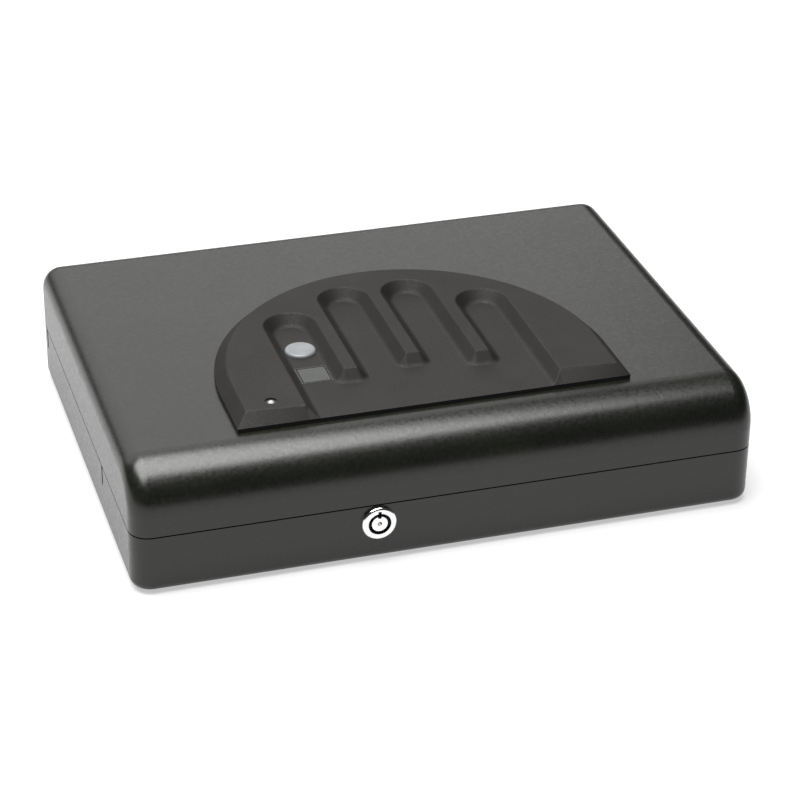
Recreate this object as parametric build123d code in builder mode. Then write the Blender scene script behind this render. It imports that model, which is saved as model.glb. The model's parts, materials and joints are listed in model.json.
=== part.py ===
from build123d import *
import math
import os

# Compact gun safe: a pressed steel tray and a lid that swings up on its left side.
# A moulded hand pad on the lid carries the start button and the fingerprint sensor.
# The front strip holds the works: bolt and electronics in the lid, key lock and catch in the tray.
# Millimetres. X runs left to right, Y front to rear, Z up. The origin is on the floor, under the middle.

os.makedirs("parts", exist_ok=True)

# ---- driving dimensions of the case ----
width = 280.0
depth = 210.0
body_height = 57.0
foot_height = 1.2
sheet = 1.2
seam_above_underside = 26.8
seam_gap = 0.6
side_radius = 9.0
front_radius = 21.0
rear_radius = 12.0
bottom_radius = 4.0
deep = 400.0

underside = foot_height
tray_floor = underside + sheet
lid_top = underside + body_height
lid_ceiling = lid_top - sheet
seam = underside + seam_above_underside
base_rim = seam - seam_gap / 2
lid_rim = seam + seam_gap / 2
inner_x = width / 2 - sheet
inner_y = depth / 2 - sheet
front_y = -depth / 2

# ---- hinge: two goose-neck arms on pins close inside the left wall ----
hinge_x = -inner_x + 4.0
hinge_z = 16.0
hinge_ys = {"front": -41.0, "rear": 91.0}
arm_thickness = 1.5
pin_radius = 1.5
running_fit = 0.05
slit_width = 2.1
slit_bottom = hinge_z + 3.2

# ---- front works strip ----
partition_y = -54.0
deck_top = 27.0
deck_sheet = 1.5
bolt_y = -77.0
hook_xs = (-85.0, 45.0)
hook_width = 8.0
toe_reach = 6.0
bolt_travel = 6.0
catch_travel = 8.0
catch_bottom = 20.0
catch_sheet = 1.5

# ---- key lock ----
lock_x = -33.5
lock_z = 19.5
lock_radius = 6.0
bezel_radius = 7.75
bezel_height = 2.0
keyway_radius = 5.05
post_radius = 3.5
lock_rear = -89.0
cam_throw = catch_travel / (2 * math.sin(math.radians(45)))
cam_pin_radius = 1.5

# ---- hand pad ----
pad_half = 88.5
pad_front = -81.0
pad_shoulder = -50.0
pad_back = 43.8
gasket_top = lid_top + 1.6
pad_bottom = lid_top + 0.6
pad_floor = gasket_top + 0.3
pad_top = lid_top + 6.9
flank_inset = 5.2
groove_pitch = 30.2
groove_half = 12.2
groove_ends = (7.9, 26.1, 26.1, 7.7)
wall_run = 4.6
button_xy = (-45.1, -20.7)
button_radius = 7.0
button_travel = 0.8
sensor_xy = (-45.0, -43.2)
led_xy = (-71.0, -69.3)
pad_screw_xys = ((-74.0, -50.0), (74.0, -50.0), (-42.0, 18.0), (42.0, 18.0))

# ---- electronics tray under the lid ----
works_bottom = 29.3
works_top = 56.5
works_wall = 2.0
works_left = -112.0
works_right = 128.0
works_front = -101.0
works_rear = partition_y
works_floor = works_bottom + works_wall
works_screw_xys = ((-106.0, -62.0), (-106.0, -80.0), (30.0, -60.5), (121.5, -62.0), (121.5, -80.0))
solenoid_y = -87.5
solenoid_z = 39.5
board_z = 50.0
door_left = 60.0
door_right = 114.0
door_pivot_z = 31.6
door_pivot_y = -52.4


def flat(z):
    """Level sketch plane at height z."""
    return Plane.XY.offset(z)


def upright(y):
    """Sketch plane facing the front at depth y: sketch X is X, sketch Y is Z."""
    return Plane.XZ.offset(-y)


def endwise(x):
    """Sketch plane facing the right at x: sketch X is Y, sketch Y is Z."""
    return Plane.YZ.offset(x)


def ring_at(z, height, outer, inner):
    """Band that follows the case outline, between two insets from its outside."""
    with BuildPart() as band:
        with BuildSketch(flat(z)):
            RectangleRounded(width - 2 * outer, depth - 2 * outer, side_radius - outer)
            RectangleRounded(width - 2 * inner, depth - 2 * inner, side_radius - inner, mode=Mode.SUBTRACT)
        extrude(amount=height)
    return band.part


def lid_form(inset, bottom):
    """Lid outline drawn in by inset: the side profile run across, with both end outlines rounded."""
    half_depth = depth / 2 - inset
    half_width = width / 2 - inset
    with BuildPart() as form:
        with BuildSketch(endwise(-half_width)) as side:
            with Locations((0, (bottom + lid_top - inset) / 2)):
                Rectangle(2 * half_depth, lid_top - inset - bottom)
            upper = side.vertices().group_by(Axis.Y)[-1].sort_by(Axis.X)
            fillet(upper[0], front_radius - inset)
            upper = side.vertices().group_by(Axis.Y)[-1].sort_by(Axis.X)
            fillet(upper[-1], rear_radius - inset)
        extrude(amount=2 * half_width)
        ends = form.faces().filter_by(Axis.X).edges()
        bottom_edges = ends.group_by(Axis.Z)[0]
        fillet([edge for edge in ends if edge not in bottom_edges], side_radius - inset)
    return form.part


def pad_outline(z, inset):
    """D outline of the hand pad: straight front, short straight sides and a half-ellipse behind."""
    half = pad_half - inset
    front = pad_front + inset
    with BuildSketch(flat(z)) as outline:
        with BuildLine():
            Polyline((half, pad_shoulder), (half, front), (-half, front), (-half, pad_shoulder))
            EllipticalCenterArc((0, pad_shoulder), half, pad_back - inset - pad_shoulder, arc_size=180)
        make_face()
    return outline.sketch


def spring_along_x(x_left, x_right, y, z, radius, wire, turns):
    """Compression spring: a round wire wound on a helix along X."""
    length = x_right - x_left - 2 * wire
    with BuildPart() as coil:
        with BuildLine() as path:
            Helix(length / turns, length, radius, center=(x_left + wire, y, z), direction=(1, 0, 0))
        with BuildSketch(Plane(origin=path.line @ 0, z_dir=path.line % 0)):
            Circle(wire)
        sweep(is_frenet=True)
    return coil.part


def screw(x, y, head_z, tip_z, radius, head_radius, head_height, up):
    """Pan head screw along Z: the shank runs from the head's seat to tip_z, and up says where it points."""
    step = 1 if up else -1
    with BuildPart() as body:
        with BuildSketch(flat(head_z)):
            with Locations((x, y)):
                Circle(head_radius)
        extrude(amount=-step * head_height)
        crown = body.faces().sort_by(Axis.Z)[0 if up else -1].edges()
        fillet(crown, head_height * 0.4)
        with BuildSketch(flat(head_z)):
            with Locations((x, y)):
                Circle(radius)
        extrude(amount=tip_z - head_z)
        with BuildSketch(flat(head_z - step * head_height)):
            with Locations((x, y)):
                Rectangle(head_radius, radius * 0.4)
                Rectangle(radius * 0.4, head_radius)
        extrude(amount=step * head_height * 0.5, mode=Mode.SUBTRACT)
    return body.part


# ================= tray =================
mount_centre_y = 25.0
mount_spacing_x = 180.0
mount_spacing_y = 100.0
mount_radius = 3.25

with BuildPart() as base_shell:
    with BuildSketch(flat(underside)):
        RectangleRounded(width, depth, side_radius)
    extrude(amount=base_rim - underside)
    fillet(base_shell.faces().sort_by(Axis.Z)[0].edges(), bottom_radius)
    with BuildPart(mode=Mode.PRIVATE) as hollow:
        with BuildSketch(flat(tray_floor)):
            RectangleRounded(2 * inner_x, 2 * inner_y, side_radius - sheet)
        extrude(amount=base_rim - tray_floor)
        fillet(hollow.faces().sort_by(Axis.Z)[0].edges(), bottom_radius - sheet)
    add(hollow.part, mode=Mode.SUBTRACT)
    with BuildSketch(upright(front_y)):
        with Locations((lock_x, lock_z)):
            Circle(lock_radius + running_fit)
    extrude(amount=-2 * sheet, mode=Mode.SUBTRACT)
    with BuildSketch(endwise(-width / 2)):
        for slit_y in hinge_ys.values():
            with Locations((slit_y, (slit_bottom + base_rim) / 2)):
                Rectangle(slit_width, base_rim - slit_bottom)
            with Locations((slit_y, slit_bottom)):
                Circle(slit_width / 2)
    extrude(amount=2 * sheet, mode=Mode.SUBTRACT)
    with BuildSketch(flat(underside)):
        with Locations((0, mount_centre_y)):
            with GridLocations(mount_spacing_x, mount_spacing_y, 2, 2):
                Circle(mount_radius)
    extrude(amount=2 * sheet, mode=Mode.SUBTRACT)
base_shell.part.label = "base_shell"
export_step(base_shell.part, "parts/base_shell.step")

# Pry lip: a band welded inside the front, right and rear walls that stands up inside the lid.
lip_bottom = 21.0
lip_step = 27.0
lip_top = 31.5
lip_gap = 0.5
lip_inset = sheet + 1.5
with BuildPart() as rim_lip:
    add(ring_at(lip_bottom, lip_step - lip_bottom, sheet, lip_inset))
    add(ring_at(lip_step, lip_top - lip_step, sheet + lip_gap, lip_inset))
    with Locations((-width / 2, 0, seam)):
        Box(30, deep, 30, mode=Mode.SUBTRACT)
    with Locations((lock_x, front_y, lip_bottom)):
        Box(24, 12, 2 * (lip_step - lip_bottom), mode=Mode.SUBTRACT)
rim_lip.part.label = "rim_lip"
export_step(rim_lip.part, "parts/rim_lip.step")

# Front deck: the cover over the lock and catch, bent down at the rear to close off the storage side.
deck_left = -136.5
deck_right = 136.0
deck_front = -102.0
deck_post_radius = 4.0
deck_screw_radius = 1.5
lock_clearance = 20.0
corner_notch = 8.0
deck_post_xys = ((-128.0, -95.0), (128.0, -95.0), (-128.0, -62.0), (128.0, -62.0))
slot_left = -hook_width / 2 - 2.5
slot_right = hook_width / 2 + toe_reach + bolt_travel + 1.5
slot_depth = 5.0
with BuildPart() as front_deck:
    with BuildSketch(endwise(deck_left)):
        with BuildLine():
            Polyline(
                (deck_front, deck_top),
                (partition_y, deck_top),
                (partition_y, tray_floor),
                (partition_y - deck_sheet, tray_floor),
                (partition_y - deck_sheet, deck_top - deck_sheet),
                (deck_front, deck_top - deck_sheet),
                close=True,
            )
        make_face()
    extrude(amount=deck_right - deck_left)
    bend = front_deck.edges().filter_by(Axis.X).sort_by_distance((0, partition_y, deck_top))[0]
    fillet(bend, 2.0)
    front_corners = front_deck.edges().filter_by(Axis.Z).group_by(Axis.Y)[0]
    fillet(front_corners, 8.0)
    with BuildSketch(flat(deck_top)):
        for hook_x in hook_xs:
            with Locations((hook_x + (slot_left + slot_right) / 2, bolt_y)):
                RectangleRounded(slot_right - slot_left, slot_depth, 1.0)
        with Locations(*deck_post_xys):
            Circle(deck_screw_radius + 0.1)
        with Locations((lock_x, deck_front)):
            Rectangle(lock_clearance, 8)
    extrude(amount=-2 * deck_sheet, mode=Mode.SUBTRACT)
    with Locations((deck_left, partition_y, tray_floor), (deck_right, partition_y, tray_floor)):
        Box(corner_notch, corner_notch, corner_notch, mode=Mode.SUBTRACT)
front_deck.part.label = "front_deck"
export_step(front_deck.part, "parts/front_deck.step")

with BuildPart() as deck_posts:
    with BuildSketch(flat(tray_floor)):
        with Locations(*deck_post_xys):
            Circle(deck_post_radius)
            Circle(deck_screw_radius, mode=Mode.SUBTRACT)
    extrude(amount=deck_top - deck_sheet - tray_floor)
deck_posts.part.label = "deck_posts"
export_step(deck_posts.part, "parts/deck_posts.step")

with BuildPart() as deck_screws:
    for post_x, post_y in deck_post_xys:
        add(screw(post_x, post_y, deck_top, deck_top - 9.0, deck_screw_radius, 2.9, 1.4, up=False))
deck_screws.part.label = "deck_screws"
export_step(deck_screws.part, "parts/deck_screws.step")

# Foam liner on the storage floor, cut round for the mounting holes.
liner_left = -122.0
liner_right = 134.0
liner_front = -52.0
liner_rear = 101.0
liner_thickness = 4.0
with BuildPart() as base_liner:
    with BuildSketch(flat(tray_floor + 0.1)):
        with Locations(((liner_left + liner_right) / 2, (liner_front + liner_rear) / 2)):
            RectangleRounded(liner_right - liner_left, liner_rear - liner_front, 6.0)
        with Locations((0, mount_centre_y)):
            with GridLocations(mount_spacing_x, mount_spacing_y, 2, 2):
                Circle(mount_radius + 3.75, mode=Mode.SUBTRACT)
    extrude(amount=liner_thickness)
base_liner.part.label = "base_liner"
export_step(base_liner.part, "parts/base_liner.step")

foot_spacing_x = 230.0
foot_spacing_y = 164.0
foot_radius = 7.0
with BuildPart() as rubber_feet:
    with BuildSketch(flat(0)):
        with GridLocations(foot_spacing_x, foot_spacing_y, 2, 2):
            Circle(foot_radius)
    extrude(amount=foot_height)
    fillet(rubber_feet.faces().filter_by(Axis.Z).sort_by(Axis.Z)[:4].edges(), 0.4)
rubber_feet.part.label = "rubber_feet"
export_step(rubber_feet.part, "parts/rubber_feet.step")


# ================= hinge =================
def hinge_bracket(y):
    """Folded bracket on the tray floor: a foot plate and two ears that hold the pin."""
    ear_gap = arm_thickness / 2 + 0.35
    ear_sheet = 1.5
    ear_radius = 3.4
    foot_width = 10.5
    foot_x = -inner_x + 3.3 + foot_width / 2
    with BuildPart() as bracket:
        with BuildSketch(flat(tray_floor)):
            with Locations((foot_x, y)):
                Rectangle(foot_width, 16.0)
        extrude(amount=ear_sheet)
        for ear_y in (y - ear_gap, y + ear_gap + ear_sheet):
            with BuildSketch(upright(ear_y)):
                with Locations((hinge_x, hinge_z)):
                    Circle(ear_radius)
                with Locations((foot_x, tray_floor + ear_sheet / 2)):
                    Rectangle(foot_width, ear_sheet)
                make_hull()
                with Locations((hinge_x, hinge_z)):
                    Circle(pin_radius, mode=Mode.SUBTRACT)
            extrude(amount=ear_sheet)
    return bracket.part


def hinge_pin(y):
    """Headed hinge pin through both ears and the arm between them."""
    half_length = 3.6
    head_radius = 2.3
    head_thickness = 1.0
    with BuildPart() as pin:
        with BuildSketch(upright(y + half_length)):
            with Locations((hinge_x, hinge_z)):
                Circle(pin_radius)
        extrude(amount=2 * half_length)
        with BuildSketch(upright(y - half_length + 0.9)):
            with Locations((hinge_x, hinge_z)):
                Circle(head_radius)
        extrude(amount=head_thickness)
    return pin.part


def hinge_arm(y):
    """Goose-neck arm: it leaves the pin inward, rises beside the wall and ends in a welded flange."""
    neck_left = 4.4
    neck_right = 9.0
    eye = 3.2
    flange_bottom = 14.5
    flange_top = 26.0
    flange = 1.5
    with BuildPart() as arm:
        with BuildSketch(upright(y + arm_thickness / 2)):
            with BuildLine(Plane.XY):
                Polyline(
                    (hinge_x, hinge_z - eye),
                    (hinge_x + neck_right, hinge_z - eye),
                    (hinge_x + neck_right, hinge_z + flange_top),
                    (-inner_x, hinge_z + flange_top),
                    (-inner_x, hinge_z + flange_bottom),
                    (hinge_x + neck_left, hinge_z + flange_bottom),
                    (hinge_x + neck_left, hinge_z + eye),
                    (hinge_x, hinge_z + eye),
                    close=True,
                )
            make_face()
            with Locations((hinge_x, hinge_z)):
                Circle(eye)
                Circle(pin_radius + running_fit, mode=Mode.SUBTRACT)
        extrude(amount=arm_thickness)
        corners = arm.edges().filter_by(Axis.Y)
        fillet(corners.sort_by_distance((hinge_x + neck_right, y, hinge_z - eye))[0], 4.0)
        corners = arm.edges().filter_by(Axis.Y)
        fillet(corners.sort_by_distance((hinge_x + neck_right, y, hinge_z + flange_top))[0], 4.0)
        corners = arm.edges().filter_by(Axis.Y)
        fillet(corners.sort_by_distance((hinge_x + neck_left, y, hinge_z + flange_bottom))[0], 1.5)
        with BuildSketch(endwise(-inner_x)):
            with Locations((y, hinge_z + (flange_bottom + flange_top) / 2)):
                RectangleRounded(10.0, flange_top - flange_bottom, 2.0)
        extrude(amount=flange)
    return arm.part


for side_name, side_y in hinge_ys.items():
    bracket_part = hinge_bracket(side_y)
    bracket_part.label = f"hinge_bracket_{side_name}"
    export_step(bracket_part, f"parts/hinge_bracket_{side_name}.step")
    pin_part = hinge_pin(side_y)
    pin_part.label = f"hinge_pin_{side_name}"
    export_step(pin_part, f"parts/hinge_pin_{side_name}.step")
    arm_part = hinge_arm(side_y)
    arm_part.label = f"hinge_arm_{side_name}"
    export_step(arm_part, f"parts/hinge_arm_{side_name}.step")

# ================= key lock =================
keyway_depth = 4.0
notch_width = 1.5
bezel_face = front_y - bezel_height
plug_front = bezel_face + 0.2
plug_radius = keyway_radius - running_fit

with BuildPart() as lock_housing:
    with BuildSketch(upright(front_y)):
        with Locations((lock_x, lock_z)):
            Circle(bezel_radius)
    extrude(amount=bezel_height)
    fillet(lock_housing.faces().sort_by(Axis.Y)[0].edges(), 1.2)
    with BuildSketch(upright(front_y)):
        with Locations((lock_x, lock_z)):
            Circle(lock_radius)
    extrude(amount=lock_rear - front_y, dir=(0, 1, 0))
    with BuildSketch(upright(lock_rear)):
        with Locations((lock_x, lock_z)):
            Circle(keyway_radius)
    extrude(amount=lock_rear - bezel_face, mode=Mode.SUBTRACT)
    with BuildSketch(upright(bezel_face + keyway_depth)):
        with Locations((lock_x, lock_z + keyway_radius)):
            Rectangle(notch_width, 2.0)
    extrude(amount=keyway_depth, mode=Mode.SUBTRACT)
lock_housing.part.label = "lock_housing"
export_step(lock_housing.part, "parts/lock_housing.step")

nut_thickness = 3.0
nut_half = 7.2
with BuildPart() as lock_nut:
    with BuildSketch(upright(-inner_y + nut_thickness)):
        with Locations((lock_x, lock_z)):
            RegularPolygon(nut_half, 6, major_radius=False)
            Circle(lock_radius, mode=Mode.SUBTRACT)
    extrude(amount=nut_thickness)
lock_nut.part.label = "lock_nut"
export_step(lock_nut.part, "parts/lock_nut.step")

cam_sheet = 1.5
cam_screw_radius = 1.25
cam_hub = 4.6
cam_eye = 3.2
shank = 2.5
with BuildPart() as lock_plug:
    with BuildSketch(upright(lock_rear)):
        with Locations((lock_x, lock_z)):
            Circle(plug_radius)
    extrude(amount=lock_rear - (plug_front + keyway_depth))
    with BuildSketch(upright(plug_front + keyway_depth)):
        with Locations((lock_x, lock_z)):
            Circle(post_radius)
    extrude(amount=keyway_depth)
    with BuildSketch(upright(plug_front + 2.5)):
        with Locations((lock_x, lock_z + post_radius)):
            Rectangle(notch_width, 1.8)
        with Locations((lock_x, lock_z)):
            Circle(1.0)
    extrude(amount=2.5, mode=Mode.SUBTRACT)
    with BuildSketch(upright(lock_rear + cam_sheet)):
        with Locations((lock_x, lock_z)):
            Rectangle(2 * shank, 2 * shank)
            Circle(cam_screw_radius, mode=Mode.SUBTRACT)
    extrude(amount=cam_sheet)
lock_plug.part.label = "lock_plug"
export_step(lock_plug.part, "parts/lock_plug.step")

# The cam hangs down and leans 45 degrees to the left at rest, so that a quarter turn is even on both sides.
pin_x = lock_x - cam_throw * math.sin(math.radians(45))
pin_z = lock_z - cam_throw * math.cos(math.radians(45))
with BuildPart() as lock_cam:
    with BuildSketch(upright(lock_rear + cam_sheet)):
        with Locations((lock_x, lock_z)):
            Circle(cam_hub)
        with Locations((pin_x, pin_z)):
            Circle(cam_eye)
        make_hull()
        with Locations((lock_x, lock_z)):
            Rectangle(2 * shank, 2 * shank, mode=Mode.SUBTRACT)
        with Locations((pin_x, pin_z)):
            Circle(cam_pin_radius, mode=Mode.SUBTRACT)
    extrude(amount=cam_sheet)
lock_cam.part.label = "lock_cam"
export_step(lock_cam.part, "parts/lock_cam.step")

tab_front = -84.0
tab_sheet = 1.5
with BuildPart() as cam_pin:
    with BuildSketch(upright(tab_front + tab_sheet + 1.0)):
        with Locations((pin_x, pin_z)):
            Circle(cam_pin_radius)
    extrude(amount=tab_front + tab_sheet + 1.0 - lock_rear)
cam_pin.part.label = "cam_pin"
export_step(cam_pin.part, "parts/cam_pin.step")

with BuildPart() as cam_screw:
    with BuildSketch(upright(lock_rear + cam_sheet + 1.5)):
        with Locations((lock_x, lock_z)):
            Circle(3.0)
            Rectangle(4.4, 0.8, mode=Mode.SUBTRACT)
    extrude(amount=1.5)
    with BuildSketch(upright(lock_rear + cam_sheet)):
        with Locations((lock_x, lock_z)):
            Circle(cam_screw_radius)
    extrude(amount=cam_sheet)
cam_screw.part.label = "cam_screw"
export_step(cam_screw.part, "parts/cam_screw.step")

# ================= catch bar =================
bar_left = -102.0
bar_right = 63.5
bar_front = tab_front
bar_rear = -70.0
guide_xs = (-60.0, 20.0)
guide_shank = 2.0
pin_play = 0.35
window_left = -hook_width / 2 - catch_travel - 1.5
window_right = hook_width / 2 + toe_reach + 1.0
bar_top = catch_bottom + catch_sheet
spring_z = 15.5
spring_tab_bottom = 11.0
pin_slot_bottom = lock_z - cam_throw - cam_pin_radius - pin_play
pin_slot_top = pin_z + cam_pin_radius + pin_play

with BuildPart() as catch_bar:
    with BuildSketch(flat(catch_bottom)):
        with Locations(((bar_left + bar_right) / 2, (bar_front + bar_rear) / 2)):
            Rectangle(bar_right - bar_left, bar_rear - bar_front)
        for hook_x in hook_xs:
            with Locations((hook_x + (window_left + window_right) / 2, bolt_y)):
                Rectangle(window_right - window_left, slot_depth, mode=Mode.SUBTRACT)
        for guide_x in guide_xs:
            with Locations((guide_x - catch_travel / 2, bolt_y)):
                SlotOverall(catch_travel + 2 * guide_shank + 0.8, 2 * guide_shank + 0.4, mode=Mode.SUBTRACT)
    extrude(amount=catch_sheet)
    with BuildSketch(upright(tab_front + tab_sheet)):
        with Locations((pin_x, (pin_slot_bottom - 2.5 + catch_bottom) / 2)):
            Rectangle(10.0, catch_bottom - pin_slot_bottom + 2.5)
        with Locations((pin_x, (pin_slot_bottom + pin_slot_top) / 2)):
            slot_height = pin_slot_top - pin_slot_bottom
            Rectangle(2 * (cam_pin_radius + pin_play), slot_height, mode=Mode.SUBTRACT)
    extrude(amount=tab_sheet)
    with BuildSketch(endwise(bar_right - tab_sheet)):
        with Locations((bolt_y, (spring_tab_bottom + catch_bottom) / 2)):
            Rectangle(9.0, catch_bottom - spring_tab_bottom)
    extrude(amount=tab_sheet)
catch_bar.part.label = "catch_bar"
export_step(catch_bar.part, "parts/catch_bar.step")

with BuildPart() as guide_posts:
    with BuildSketch(flat(tray_floor)):
        with Locations(*((guide_x, bolt_y) for guide_x in guide_xs)):
            Circle(3.5)
    extrude(amount=catch_bottom - 0.2 - tray_floor)
guide_posts.part.label = "guide_posts"
export_step(guide_posts.part, "parts/guide_posts.step")

guide_head = 1.4
with BuildPart() as guide_screws:
    with BuildSketch(flat(catch_bottom - 0.2)):
        with Locations(*((guide_x, bolt_y) for guide_x in guide_xs)):
            Circle(guide_shank)
    extrude(amount=catch_sheet + 0.6)
    with BuildSketch(flat(bar_top + 0.4)):
        with Locations(*((guide_x, bolt_y) for guide_x in guide_xs)):
            Circle(3.6)
            Rectangle(5.0, 0.9, mode=Mode.SUBTRACT)
    extrude(amount=guide_head)
    with BuildSketch(flat(bar_top + 0.4)):
        with Locations(*((guide_x, bolt_y) for guide_x in guide_xs)):
            Circle(3.0)
    extrude(amount=0.5)
guide_screws.part.label = "guide_screws"
export_step(guide_screws.part, "parts/guide_screws.step")

anchor_x = 82.0
with BuildPart() as spring_anchor:
    with BuildSketch(upright(bolt_y + 5.0)):
        with BuildLine(Plane.XY):
            Polyline(
                (anchor_x, tray_floor),
                (anchor_x + 12, tray_floor),
                (anchor_x + 12, tray_floor + 1.5),
                (anchor_x + 1.5, tray_floor + 1.5),
                (anchor_x + 1.5, 20.5),
                (anchor_x, 20.5),
                close=True,
            )
        make_face()
    extrude(amount=10.0)
spring_anchor.part.label = "spring_anchor"
export_step(spring_anchor.part, "parts/spring_anchor.step")

catch_spring_part = spring_along_x(bar_right + 0.1, anchor_x - 0.1, bolt_y, spring_z, 2.9, 0.35, 8)
catch_spring_part.label = "catch_spring"
export_step(catch_spring_part, "parts/catch_spring.step")

# ================= lid =================
module_x = sensor_xy[0]
module_centre = (module_x, -32.0)
module_opening = (22.0, 42.0)
with BuildPart() as lid_shell:
    add(lid_form(0, lid_rim))
    add(lid_form(sheet, lid_rim - 5.0), mode=Mode.SUBTRACT)
    with BuildSketch(flat(lid_top)):
        with Locations(module_centre):
            RectangleRounded(*module_opening, 2.0)
        with Locations(*pad_screw_xys):
            Circle(1.8)
    extrude(amount=-2 * sheet, mode=Mode.SUBTRACT)
lid_shell.part.label = "lid_shell"
export_step(lid_shell.part, "parts/lid_shell.step")

# Foam pad under the lid, over the storage side.
lid_liner_right = 130.5
lid_liner_front = -46.0
lid_liner_rear = 92.5
lid_liner_bottom = 53.6
lid_liner_centre = ((liner_left + lid_liner_right) / 2, (lid_liner_front + lid_liner_rear) / 2)
module_clear = 30.0
module_clear_rear = -3.0
with BuildPart() as lid_liner:
    with BuildSketch(flat(lid_liner_bottom)):
        with Locations(lid_liner_centre):
            RectangleRounded(lid_liner_right - liner_left, lid_liner_rear - lid_liner_front, 6.0)
        with Locations((module_x, module_clear_rear - module_clear)):
            RectangleRounded(module_clear, 2 * module_clear, 2.0, mode=Mode.SUBTRACT)
        with Locations(*pad_screw_xys):
            Circle(4.5, mode=Mode.SUBTRACT)
    extrude(amount=lid_ceiling - lid_liner_bottom)
lid_liner.part.label = "lid_liner"
export_step(lid_liner.part, "parts/lid_liner.step")

# ================= hand pad =================
with BuildPart() as pad_gasket:
    add(pad_outline(lid_top, 0.1))
    extrude(amount=gasket_top - lid_top)
    add(pad_outline(pad_bottom, 1.5))
    extrude(amount=gasket_top - pad_bottom, mode=Mode.SUBTRACT)
    with BuildSketch(flat(lid_top)):
        with Locations(module_centre):
            RectangleRounded(*module_opening, 2.0)
        with Locations(*pad_screw_xys):
            Circle(1.8)
    extrude(amount=gasket_top - lid_top, mode=Mode.SUBTRACT)
pad_gasket.part.label = "pad_gasket"
export_step(pad_gasket.part, "parts/pad_gasket.step")


palm_rear = -49.9
middle_palm_rear = -43.2
open_front = -100.0


def groove_outline(z, centre_x, half, end):
    """Finger groove in plan: straight sides and a half-round rear end, run out past the pad's front."""
    straight_end = end - groove_half
    with BuildSketch(flat(z)) as outline:
        with BuildLine():
            Polyline(
                (centre_x - half, straight_end),
                (centre_x - half, open_front),
                (centre_x + half, open_front),
                (centre_x + half, straight_end),
            )
            CenterArc((centre_x, straight_end), half, 0, 180)
        make_face()
    return outline.sketch


def palm_outline(z, half, rear):
    """Palm area in plan: a rectangle run out past the pad's front."""
    with BuildSketch(flat(z)) as outline:
        with Locations((0, (open_front + rear) / 2)):
            Rectangle(2 * half, rear - open_front)
    return outline.sketch


sensor_side = 14.2
led_hole_radius = 2.6
with BuildPart() as hand_pad:
    add(pad_outline(gasket_top, 0))
    add(pad_outline(pad_top, flank_inset))
    loft(ruled=True)
    add(pad_outline(pad_bottom, 1.5))
    extrude(amount=gasket_top - pad_bottom)
    for index, groove_end in enumerate(groove_ends):
        groove_x = (index - 1.5) * groove_pitch
        add(groove_outline(pad_floor, groove_x, groove_half - wall_run, groove_end))
        add(groove_outline(pad_top, groove_x, groove_half, groove_end))
        loft(ruled=True, mode=Mode.SUBTRACT)
    outer_wall = 1.5 * groove_pitch + groove_half
    for palm_half, palm_end in ((outer_wall, palm_rear), (groove_pitch / 2 + wall_run, middle_palm_rear)):
        add(palm_outline(pad_floor, palm_half - wall_run, palm_end - wall_run))
        add(palm_outline(pad_top, palm_half, palm_end))
        loft(ruled=True, mode=Mode.SUBTRACT)
    with BuildSketch(flat(pad_top)):
        with Locations(button_xy):
            Circle(button_radius + 0.3)
        with Locations(sensor_xy):
            Rectangle(sensor_side + 0.1, sensor_side + 0.1)
        with Locations(led_xy):
            Circle(led_hole_radius)
    extrude(amount=-(pad_top - pad_bottom), mode=Mode.SUBTRACT)
    with BuildSketch(flat(pad_bottom)):
        with Locations(*pad_screw_xys):
            Circle(1.5)
    extrude(amount=3.6, mode=Mode.SUBTRACT)
hand_pad.part.label = "hand_pad"
export_step(hand_pad.part, "parts/hand_pad.step")

with BuildPart() as pad_screws:
    for screw_x, screw_y in pad_screw_xys:
        add(screw(screw_x, screw_y, lid_ceiling, pad_bottom + 3.4, 1.5, 2.9, 1.6, up=True))
pad_screws.part.label = "pad_screws"
export_step(pad_screws.part, "parts/pad_screws.step")

# Start button: a low crown that stands on a switch, kept in by a flange under the pad.
button_flange_bottom = 57.2
button_rise = 1.4
crown_round = 1.2
with BuildPart() as start_button:
    with BuildSketch(flat(button_flange_bottom)):
        with Locations(button_xy):
            Circle(button_radius + 1.3)
    extrude(amount=pad_bottom - 0.2 - button_flange_bottom)
    with BuildSketch(flat(pad_bottom - 0.2)):
        with Locations(button_xy):
            Circle(button_radius)
    extrude(amount=pad_floor + button_rise - (pad_bottom - 0.2))
    fillet(start_button.faces().sort_by(Axis.Z)[-1].edges(), crown_round)
start_button.part.label = "start_button"
export_step(start_button.part, "parts/start_button.step")

module_board_top = 52.6
with BuildPart() as button_switch:
    with BuildSketch(flat(module_board_top)):
        with Locations(button_xy):
            RectangleRounded(6.2, 6.2, 0.6)
    extrude(amount=2.6)
    with BuildSketch(flat(module_board_top + 2.6)):
        with Locations(button_xy):
            Circle(1.75)
    extrude(amount=button_flange_bottom - button_travel - 0.1 - (module_board_top + 2.6))
button_switch.part.label = "button_switch"
export_step(button_switch.part, "parts/button_switch.step")

# Fingerprint sensor: a window in a thin frame, level with the floor of the groove.
frame_wall = 0.5
glass_gap = 0.3
glass_edge = 0.25
frame_opening = sensor_side - 2 * frame_wall
glass_side = frame_opening - 2 * glass_gap
window_foot = 0.6
with BuildPart() as sensor_frame:
    with BuildSketch(flat(pad_bottom + 0.1)):
        with Locations(sensor_xy):
            Rectangle(sensor_side, sensor_side)
            Rectangle(frame_opening, frame_opening, mode=Mode.SUBTRACT)
    extrude(amount=pad_floor + 0.1 - (pad_bottom + 0.1))
sensor_frame.part.label = "sensor_frame"
export_step(sensor_frame.part, "parts/sensor_frame.step")

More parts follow.
